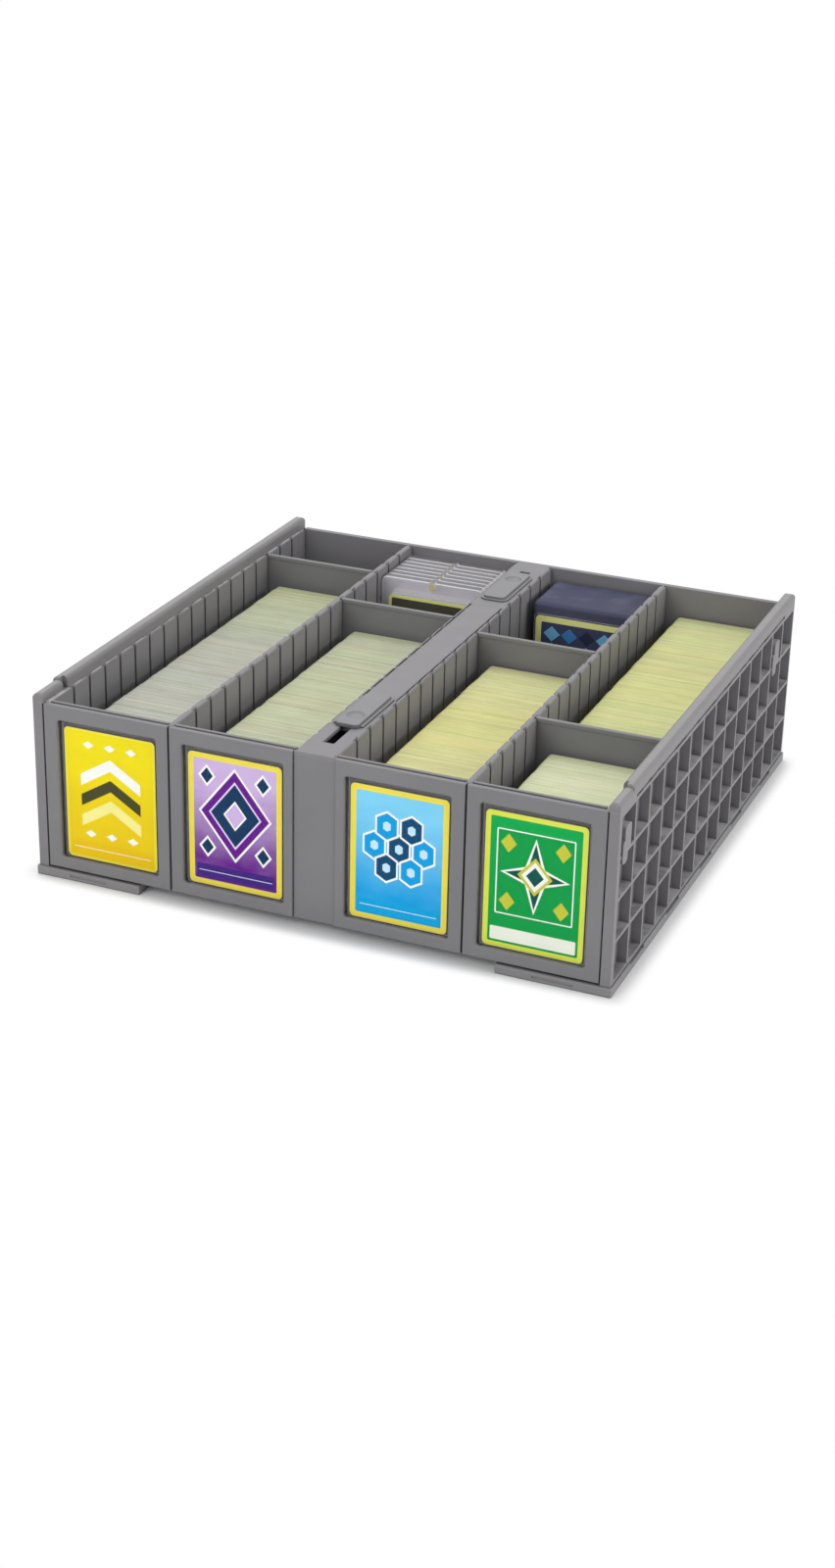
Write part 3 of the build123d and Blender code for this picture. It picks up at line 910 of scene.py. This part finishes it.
class Finishes:
    """The finishes that the bin's own pieces share."""

    # In each grey plastic the lighter third colour is edge wear and a painted highlight.
    SHELL = PlasticFinish("grey_shell", srgb(125, 123, 125), srgb(131, 129, 131),
                          srgb(165, 163, 165), srgb(152, 150, 149), srgb(62, 60, 61),
                          crevice_shade_share=0.4)
    # The side wall's pale top colour at a high share is dust and painted light on the lattice's rib
    # tops.
    SIDE = PlasticFinish("grey_side", srgb(124, 122, 124), srgb(130, 128, 130),
                         srgb(172, 170, 172), srgb(182, 180, 179), srgb(62, 60, 61),
                         crevice_shade_share=0.4, wear_and_highlight_share=0.8, dust_and_top_share=0.9, dust_and_top_cover=0.14)
    # Painted shade darkens the rails' flanks.
    RAIL = PlasticFinish("grey_rail", srgb(139, 137, 138), srgb(145, 143, 144),
                         srgb(176, 174, 174), srgb(159, 157, 156), srgb(66, 64, 65),
                         crevice_shade_share=0.4, flank_shade_share=0.26)
    # Painted shade darkens the runner's slots and gaps within 2 mm.
    BASE = PlasticFinish("grey_base", srgb(131, 129, 131), srgb(137, 135, 136),
                         srgb(168, 166, 167), srgb(152, 150, 149), srgb(46, 44, 45),
                         crevice_shade_share=0.85, crevice_shade_reach=0.002)
    # Painted shade darkens the label windows' recesses and the seams between the frames.
    FRAME = PlasticFinish("grey_front", srgb(122, 121, 123), srgb(127, 126, 128),
                          srgb(163, 162, 163), srgb(150, 148, 147), srgb(52, 51, 51),
                          crevice_shade_share=0.75)
    LOOSE = PlasticFinish("grey_loose", srgb(121, 120, 121), srgb(127, 126, 127),
                          srgb(163, 162, 163), srgb(152, 150, 148), srgb(64, 62, 61),
                          roughness=0.48)
    # Painted shade darkens the thumb dishes and the latches' flanks.
    LATCH = PlasticFinish("grey_latch", srgb(125, 124, 126), srgb(130, 129, 131),
                          srgb(168, 167, 168), srgb(154, 152, 149), srgb(54, 52, 51),
                          roughness=0.44, wear_and_highlight_share=0.7, crevice_shade_share=0.9, crevice_shade_reach=0.004,
                          flank_shade_share=0.3)
    # The navy box's top colour is darker than its body: painted shade on its top faces.
    NAVY = PlasticFinish("navy_box", srgb(76, 78, 98), srgb(82, 84, 105),
                         srgb(96, 98, 124), srgb(54, 56, 78), srgb(44, 44, 58),
                         roughness=0.55, grain_scale=1500.0, grain_depth=0.00003, wear_and_highlight_share=0.3,
                         dust_and_top_share=0.7, dust_and_top_cover=0.2, crevice_shade_share=0.1, gloss=0.12)
    # The sleeves' near-white edges and top edges are a painted highlight.
    SLEEVE = ClearFinish("clear_sleeve", srgb(232, 234, 240), srgb(246, 247, 250),
                         srgb(236, 238, 242), body_alpha=0.005, slant_alpha=0.03, edge_alpha=0.3,
                         crown_alpha=0.2, roughness=0.08, gloss=0.12)
    # The holders' white edges and front bevels are a painted highlight, and their dark top faces
    # painted shade.
    HOLDER = ClearFinish("clear_holder", srgb(240, 237, 243), srgb(242, 242, 245),
                         srgb(84, 82, 87), body_alpha=0.34, slant_alpha=0.2, edge_alpha=0.36,
                         crown_alpha=0.46, roughness=0.14, edge_radius=0.0005, edge_share=0.1)
    CARD_EDGE = CardEdgeFinish("card_edges", srgb(144, 142, 113))


@cache
def material_of(finish: Finish) -> Material:
    """The material of a finish, built once."""
    return finish.material()


def dress(thing: Object, finish: Finish) -> None:
    """Gives an object one material all over."""
    thing.data.materials.clear()
    thing.data.materials.append(material_of(finish))


def new_mesh(name: str, points: list, faces: list) -> Mesh:
    """A mesh from points in metres and faces as indices.

    Args:
        name: the mesh's name.
        points: the vertices.
        faces: the faces.

    Returns:
        The mesh.
    """
    mesh = bpy.data.meshes.new(name)
    mesh.from_pydata(points, [], faces)
    mesh.update()
    return mesh


def add_object(name: str, data: Any) -> Object:
    """Puts a mesh, a lamp or a camera into the scene.

    Args:
        name: the object's name.
        data: what it shows.

    Returns:
        The new object.
    """
    made = bpy.data.objects.new(name, data)
    bpy.context.scene.collection.objects.link(made)
    return made


def add_piece(name: str, points: list, faces: list, body: str) -> Object:
    """Makes a piece of the part.

    Args:
        name: the piece's name.
        points: the vertices, in metres.
        faces: the faces, as indices.
        body: the body it rides on.

    Returns:
        The new object.
    """
    made = add_object(name, new_mesh(name, points, faces))
    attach(made, body)
    LOG.info("piece %s: %d points on %s", name, len(points), body)
    return made


def slab_faces(start: int, count: int) -> list[tuple[int, ...]]:
    """The faces of a flat slab whose front outline comes first, then its back one.

    Args:
        start: the index of its first vertex.
        count: how many points an outline has.

    Returns:
        The faces.
    """
    front = tuple(start + k for k in range(count))
    back = tuple(start + count + k for k in reversed(range(count)))
    rim = [(start + (k + 1) % count, start + k, start + count + k, start + count + (k + 1) % count)
           for k in range(count)]
    return [front, back, *rim]


def add_card(name: str, foot: Place, card: CardSize, body: str, finish: PrintFinish) -> None:
    """Makes one printed card.

    Args:
        name: the piece's name.
        foot: the middle of its lower front edge, in millimetres.
        card: its size.
        body: the body it rides on.
        finish: its print, which is moved to the card's middle.
    """
    outline = card.outline(steps=6)
    points = [((foot[0] + a) * MM, (foot[1] + depth) * MM, (foot[2] + b) * MM)
              for depth in (0.0, card.thick) for a, b in outline]
    piece = add_piece(name, points, slab_faces(0, len(outline)), body)
    dress(piece, replace(finish, middle=(foot[0], foot[2] + card.height / 2)))


@dataclass
class BinShell:
    """The fixed moulding: floor, walls, rails, spine, feet and the front with its frames."""

    front_names: tuple[str, ...] = ("label_frame", "spine_front")
    base_names: tuple[str, ...] = ("foot", "base_runner")
    rail_names: tuple[str, ...] = ("top_rail",)
    side_names: tuple[str, ...] = ("side_wall", "side_clip")

    def finish(self, name: str) -> PlasticFinish:
        """The plastic of a node, by what the node is.

        Args:
            name: the node's name.

        Returns:
            The finish.
        """
        kinds = ((self.front_names, Finishes.FRAME), (self.base_names, Finishes.BASE),
                 (self.rail_names, Finishes.RAIL), (self.side_names, Finishes.SIDE))
        for names, finish in kinds:
            if name.startswith(names):
                return finish
        return Finishes.SHELL

    def dress(self, nodes: dict[str, Object], members: list[str]) -> None:
        """Gives every fixed node its plastic.

        Args:
            nodes: the frame's nodes by name.
            members: the nodes of the fixed body.
        """
        for name in members:
            dress(nodes[name], self.finish(name))
            LOG.info("shell node %s", name)


@dataclass
class LatchPair:
    """The two thumb latches of the spine, with the keepers under the deck."""

    ends: tuple[str, ...] = ("front", "rear")

    def dress(self, nodes: dict[str, Object]) -> None:
        """Gives both latches and their keepers a plastic that thumbs have polished.

        Args:
            nodes: the frame's nodes by name.
        """
        for end in self.ends:
            dress(nodes[f"latch_{end}"], Finishes.LATCH)
            dress(nodes[f"latch_keeper_{end}"], Finishes.LATCH)
            LOG.info("latch %s", end)


@dataclass
class PartitionSet:
    """The loose partitions."""

    count: int = 4

    def dress(self, nodes: dict[str, Object]) -> None:
        """Gives each partition its plastic.

        Args:
            nodes: the frame's nodes by name.
        """
        for row in range(1, self.count + 1):
            dress(nodes[f"partition_{row}"], Finishes.LOOSE)
            LOG.info("partition %d", row)


@dataclass
class LabelSet:
    """The four label cards in their clear sleeves."""

    centres: tuple[float, ...] = (-141.0, -54.5, 54.5, 141.0)
    card_middle: float = 59.9

    def prints(self) -> list[PrintFinish]:
        """The four printed cards, from left to right.

        Returns:
            Their finishes.
        """
        yellow, white = srgb(246, 228, 78), srgb(252, 251, 246)
        spots = [(x, self.card_middle) for x in self.centres]
        return [
            PrintFinish("label_amber", srgb(246, 230, 60), srgb(246, 228, 8), srgb(242, 206, 4),
                        srgb(242, 200, 4), white, srgb(70, 70, 34), srgb(252, 244, 150),
                        Motif.CHEVRONS, spots[0], border_width=1.6),
            PrintFinish("label_violet", yellow, srgb(212, 186, 230), srgb(104, 22, 142),
                        srgb(66, 34, 132), white, srgb(8, 54, 92), srgb(232, 212, 246),
                        Motif.LOZENGES, spots[1]),
            PrintFinish("label_sky", yellow, srgb(132, 216, 250), srgb(0, 164, 232),
                        srgb(0, 172, 232), white, srgb(0, 74, 116), srgb(204, 238, 254),
                        Motif.HEXAGONS, spots[2]),
            PrintFinish("label_green", srgb(228, 234, 84), srgb(2, 172, 78), srgb(0, 160, 70),
                        srgb(244, 248, 232), white, srgb(0, 84, 74), srgb(206, 206, 60),
                        Motif.PINWHEEL, spots[3], border_width=3.2),
        ]

    def dress(self, nodes: dict[str, Object]) -> None:
        """Prints the cards and makes their sleeves clear.

        Args:
            nodes: the frame's nodes by name.
        """
        for row, finish in enumerate(self.prints(), 1):
            dress(nodes[f"label_card_{row}"], finish)
            dress(nodes[f"label_sleeve_{row}"], Finishes.SLEEVE)
            LOG.info("label %d: %s", row, finish.motif.value)


@dataclass
class CardRow:
    """A row of standing cards, each a slab of its own, set a little unevenly.

    The tint of the cards' edges runs from the first of tints at the front to the last at the back.
    The cards stand in batches, each with its own hue, lift and sway. Sizes are in millimetres.
    """

    node: str
    body: str
    seed: int
    tints: tuple[Colour, ...]
    accents: tuple[Colour, ...]
    card: CardSize = CardSize()
    spare: Span = (0.9, 0.6)
    sheet: float = 0.44
    sheet_spread: Span = (0.75, 1.25)
    gap: float = 0.04
    gap_spread: Span = (0.2, 1.8)
    batch: tuple[int, int] = (4, 26)
    batch_hue: Span = (0.97, 1.02)
    batch_lift: float = 0.3
    batch_sway: float = 0.25
    card_lift: float = 0.15
    card_sway: float = 0.12
    card_glow: Span = (0.96, 1.03)
    tint_stray: float = 0.15
    tint_end: float = 0.999
    accent_share: float = 0.025
    lean_step: float = 0.05
    lean_most: float = 4.0

    def tint(self, share: float) -> Colour:
        """The row's tint at a share of its length.

        Args:
            share: 0 at the front and 1 at the back.

        Returns:
            The tint.
        """
        place = min(max(share, 0.0), self.tint_end) * (len(self.tints) - 1)
        index = int(place)
        near, far = self.tints[index], self.tints[index + 1]
        return tuple(a + (b - a) * (place - index) for a, b in zip(near, far))

    def loose_card(self) -> CardSize:
        """The size of a card that has room to stand unevenly in the row's block."""
        return replace(self.card, width=self.card.width - self.spare[0],
                       height=self.card.height - self.spare[1])

    def add_ends(self, low: Vector, high: Vector) -> None:
        """Puts a printed card at the front and the back of the row.

        Args:
            low: the lowest corner of the row's block.
            high: the highest corner.
        """
        card = self.loose_card()
        middle, foot = (low.x + high.x) / 2 / MM, low.z / MM
        finish = PrintFinish(f"{self.node}_back", srgb(224, 221, 198), srgb(112, 128, 152),
                             srgb(84, 100, 130), srgb(96, 110, 138), srgb(204, 208, 212),
                             srgb(62, 74, 102), srgb(150, 164, 186), Motif.TILES)
        for end, y in (("first", low.y / MM), ("last", high.y / MM - card.thick)):
            add_card(f"{self.body}_{end}", (middle, y, foot), card, self.body, finish)

    def build(self) -> None:
        """Makes the row in the place of its CAD block."""
        low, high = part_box(self.node)
        self.add_ends(low, high)
        draw = random.Random(self.seed)
        outline = self.loose_card().outline(steps=3)
        points, faces, shades = [], [], []
        middle = (low.x + high.x) / 2
        y, last = low.y + self.card.thick * MM, high.y - self.card.thick * MM
        lift = sway = lean = 0.0
        hue = (1.0, 1.0, 1.0)
        left = 0
        while y + self.sheet * MM < last:
            if left == 0:
                left = draw.randint(*self.batch)
                hue = tuple(draw.uniform(*self.batch_hue) for _ in range(3))
                lift = draw.uniform(0.0, self.batch_lift)
                sway = draw.uniform(-self.batch_sway, self.batch_sway)
            left -= 1
            thick = self.sheet * draw.uniform(*self.sheet_spread) * MM
            up = (lift + draw.uniform(0.0, self.card_lift)) * MM
            side = (sway + draw.uniform(-self.card_sway, self.card_sway)) * MM
            share = (y - low.y) / (high.y - low.y)
            shade = self.tint(share + draw.uniform(-self.tint_stray, self.tint_stray))
            if draw.random() < self.accent_share:
                shade = draw.choice(self.accents)
            glow = draw.uniform(*self.card_glow)
            start = len(points)
            room = max(0.0, min(last - y - thick, self.lean_most * MM))
            lean = min(max(lean + draw.uniform(-self.lean_step, self.lean_step) * MM, 0.0), room)
            for depth in (0.0, thick):
                points += [(middle + side + a * MM, y + depth + lean * b / self.card.height,
                            low.z + up + b * MM) for a, b in outline]
            faces += slab_faces(start, len(outline))
            tinted = tuple(min(1.0, c * h * glow) for c, h in zip(shade, hue))
            shades += [tinted] * (2 * len(outline))
            y += thick + self.gap * draw.uniform(*self.gap_spread) * MM
        row = add_piece(self.node.replace("card_stack", "card_row"), points, faces, self.body)
        layer = row.data.color_attributes.new(TINT_LAYER, "FLOAT_COLOR", "POINT")
        layer.data.foreach_set("color", [c for shade in shades for c in (*shade, 1.0)])
        dress(row, Finishes.CARD_EDGE)
        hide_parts(self.node)


@dataclass
class HolderSet:
    """The thick clear holders of row 2 with the cards in them, and the sleeved card before them."""

    body: str = "holder_set"
    middle: float = -55.7
    fronts: tuple[float, ...] = tuple(172.1 - 7.1 * k for k in range(7))
    inset: float = 3.0
    foot: float = 16.0
    magnet_height: float = 110.8
    card: CardSize = CardSize()
    sleeved_middle: float = -57.0
    sleeved_y: float = 128.7
    sleeved_foot: float = 12.4

    def build(self, nodes: dict[str, Object]) -> None:
        """Dresses the holders, puts a card in each and prints the sleeved card.

        Args:
            nodes: the frame's nodes by name.
        """
        # the near-white plating colour is also a painted glint
        plating_and_glint = MetalFinish("magnet_plating_and_glint", srgb(255, 252, 220), srgb(238, 224, 140),
                              (self.middle, self.magnet_height))
        dress(nodes["card_holders"], Finishes.HOLDER)
        dress(nodes["holder_magnets"], plating_and_glint)
        dress(nodes["sleeved_card_row_2"], Finishes.SLEEVE)
        held = PrintFinish("held_cards", srgb(244, 242, 248), srgb(214, 208, 226),
                           srgb(176, 170, 194), srgb(150, 144, 176), srgb(248, 246, 252),
                           srgb(150, 146, 178), srgb(200, 194, 218), Motif.TILES)
        for number, front in enumerate(self.fronts, 1):
            add_card(f"held_card_{number}", (self.middle, front + self.inset, self.foot), self.card,
                     self.body, held)
        shown = PrintFinish("row_2_print", srgb(255, 253, 160), srgb(86, 86, 72),
                            srgb(66, 64, 68), srgb(78, 76, 62), srgb(220, 214, 170),
                            srgb(48, 47, 50), srgb(140, 132, 84), Motif.STEPS,
                            border_width=2.2)
        add_card("row_2_card", (self.sleeved_middle, self.sleeved_y, self.sleeved_foot), self.card,
                 self.body, shown)


@dataclass
class DeckBoxSet:
    """The dark blue deck box of row 3 and the sleeved card before it."""

    body: str = "deck_box_set"
    middle: float = 53.0
    card: CardSize = CardSize()
    sleeved_y: float = 135.2
    sleeved_foot: float = 12.4

    def build(self, nodes: dict[str, Object]) -> None:
        """Dresses the box and prints the sleeved card.

        Args:
            nodes: the frame's nodes by name.
        """
        dress(nodes["deck_box"], Finishes.NAVY)
        dress(nodes["sleeved_card_row_3"], Finishes.SLEEVE)
        shown = PrintFinish("row_3_print", srgb(248, 250, 158), srgb(72, 76, 104),
                            srgb(44, 86, 138), srgb(56, 62, 86), srgb(120, 194, 236),
                            srgb(48, 52, 80), srgb(72, 138, 202), Motif.TILES,
                            border_width=4.2)
        add_card("row_3_card", (self.middle, self.sleeved_y, self.sleeved_foot), self.card,
                 self.body, shown)


@dataclass(frozen=True)
class Lamp:
    """A square soft lamp: its place and side in metres, its power in watts."""

    name: str
    place: Place
    size: float
    power: float


@dataclass
class Studio:
    """The pale floor, the soft lamps, the world and the camera."""

    azimuth: float = 22.23
    elevation: float = 24.50
    roll: float = 1.34
    distance: float = 1461.0
    target: Place = (67.1, -190.0, 113.2)
    focal_pixels: float = 2546.0
    frame_pixels: float = 1600.0
    sensor: float = 36.0
    clip: Span = (0.01, 100.0)
    floor_size: float = 30.0
    floor_tone: Colour = (0.9, 0.9, 0.9)
    footprint: Place = (0.193, 0.19, 0.0)
    shadow_reach: float = 0.013
    world_tone: Colour = (0.97, 0.98, 1.0)
    world_level: float = 0.54
    white: Colour = (1.0, 1.0, 1.0)
    lamp_aim: Place = (0.0, 0.0, 0.06)
    lamps: tuple[Lamp, ...] = (
        Lamp("key_softbox", (-0.6, 0.75, 1.7), 1.5, 20.0),
        Lamp("front_fill", (-0.6, -1.9, 1.2), 1.4, 17.0),
        Lamp("side_fill", (2.0, 0.0, 0.75), 0.9, 18.0),
    )

    def build(self) -> None:
        """Sets up everything around the object."""
        bpy.context.scene.view_settings.view_transform = "Standard"
        self.add_floor()
        self.add_world()
        for lamp in self.lamps:
            self.add_lamp(lamp)
        self.add_camera()

    def pale_share(self, board: NodeBoard) -> NodeSocket:
        """How far a ray shows the plain background: camera, mirror and see-through rays do.

        Args:
            board: the board of the floor or the world.

        Returns:
            The share.
        """
        path = board.node("ShaderNodeLightPath").outputs
        share = board.math("MAXIMUM", path["Is Camera Ray"], path["Is Glossy Ray"])
        return board.math("MAXIMUM", share, path["Is Transmission Ray"])

    def add_floor(self) -> None:
        """A wide pale floor that keeps the object's shadow."""
        half = self.floor_size / 2
        corners = [(-half, -half, 0), (half, -half, 0), (half, half, 0), (-half, half, 0)]
        floor = add_object("floor", new_mesh("floor", corners, [(0, 1, 2, 3)]))
        made = bpy.data.materials.new("pale_floor")
        board = new_board(made)
        matt = board.node("ShaderNodeBsdfDiffuse", {"Color": self.floor_tone})
        glow = board.node("ShaderNodeEmission", {"Color": self.white})
        away = board.vector("SUBTRACT", board.vector("ABSOLUTE", board.place()), self.footprint)
        reach = board.vector("LENGTH", board.vector("MAXIMUM", away, GROUPS.ORIGIN))
        far = board.ramp(reach, 0.0, self.shadow_reach)
        share = board.math("MULTIPLY", self.pale_share(board), far)
        surface = board.blend(share, matt.outputs[0], glow.outputs[0])
        board.node("ShaderNodeOutputMaterial", {"Surface": surface})
        floor.data.materials.append(made)

    def add_world(self) -> None:
        """A soft even light, with plain white where the background shows."""
        world = bpy.data.worlds.new("studio_world")
        bpy.context.scene.world = world
        board = new_board(world)
        light = {"Color": self.world_tone, "Strength": self.world_level}
        soft = board.node("ShaderNodeBackground", light)
        plain = board.node("ShaderNodeBackground", {"Color": self.white})
        surface = board.blend(self.pale_share(board), soft.outputs[0], plain.outputs[0])
        board.node("ShaderNodeOutputWorld", {"Surface": surface})

    def add_lamp(self, lamp: Lamp) -> None:
        """Hangs a lamp so that it faces the object.

        Args:
            lamp: the lamp to hang.
        """
        data = bpy.data.lights.new(lamp.name, "AREA")
        data.shape = "SQUARE"
        data.size = lamp.size
        data.energy = lamp.power
        hung = add_object(lamp.name, data)
        hung.location = lamp.place
        aim = Vector(self.lamp_aim) - Vector(lamp.place)
        hung.rotation_euler = aim.to_track_quat("-Z", "Y").to_euler()

    def add_camera(self) -> None:
        """The camera at the photograph's place."""
        az, el, roll = (math.radians(v) for v in (self.azimuth, self.elevation, self.roll))
        back = Vector((math.sin(az) * math.cos(el), -math.cos(az) * math.cos(el), math.sin(el)))
        level = Vector((math.cos(az), math.sin(az), 0.0))
        upright = back.cross(level)
        right = math.cos(roll) * level + math.sin(roll) * upright
        up = -math.sin(roll) * level + math.cos(roll) * upright
        data = bpy.data.cameras.new("photo_camera")
        data.sensor_width = self.sensor
        data.lens = self.focal_pixels * self.sensor / self.frame_pixels
        data.clip_start, data.clip_end = self.clip
        camera = add_object("photo_camera", data)
        eye = (Vector(self.target) + self.distance * back) * MM
        turn = Matrix((right, up, back)).transposed().to_4x4()
        camera.matrix_world = Matrix.Translation(eye) @ turn
        bpy.context.scene.camera = camera


def card_rows() -> list[CardRow]:
    """The five rows of cards, with the tints of their edges.

    Returns:
        The rows.
    """
    quiet = (srgb(166, 168, 148), srgb(208, 206, 186))
    bright = (srgb(216, 200, 80), srgb(184, 178, 114), srgb(222, 218, 175))
    tints = (
        ((srgb(191, 193, 181), srgb(183, 185, 172), srgb(181, 185, 166), srgb(183, 188, 146)),
         quiet),
        ((srgb(195, 200, 170), srgb(192, 196, 160), srgb(185, 189, 160)), quiet),
        ((srgb(212, 212, 165), srgb(217, 213, 138), srgb(208, 209, 156)), bright),
        ((srgb(221, 224, 187), srgb(217, 221, 180)), quiet),
        ((srgb(213, 217, 155), srgb(214, 214, 145), srgb(207, 209, 154)), bright),
    )
    seed_step = 11
    return [CardRow(f"card_stack_{row}", f"cards_{row}", seed_step * row, edge, accents)
            for row, (edge, accents) in enumerate(tints, 1)]


def main() -> None:
    """Loads the frame, dresses it and builds what stands in it."""
    logging.basicConfig(level=logging.INFO, format="%(name)s: %(message)s")
    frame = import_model()
    nodes = frame["nodes"]
    BinShell().dress(nodes, frame["record"]["behaviour"]["bodies"]["bin"])
    LatchPair().dress(nodes)
    PartitionSet().dress(nodes)
    LabelSet().dress(nodes)
    for row in card_rows():
        row.build()
    HolderSet().build(nodes)
    DeckBoxSet().build(nodes)
    Studio().build()


if __name__ == "__main__":
    main()
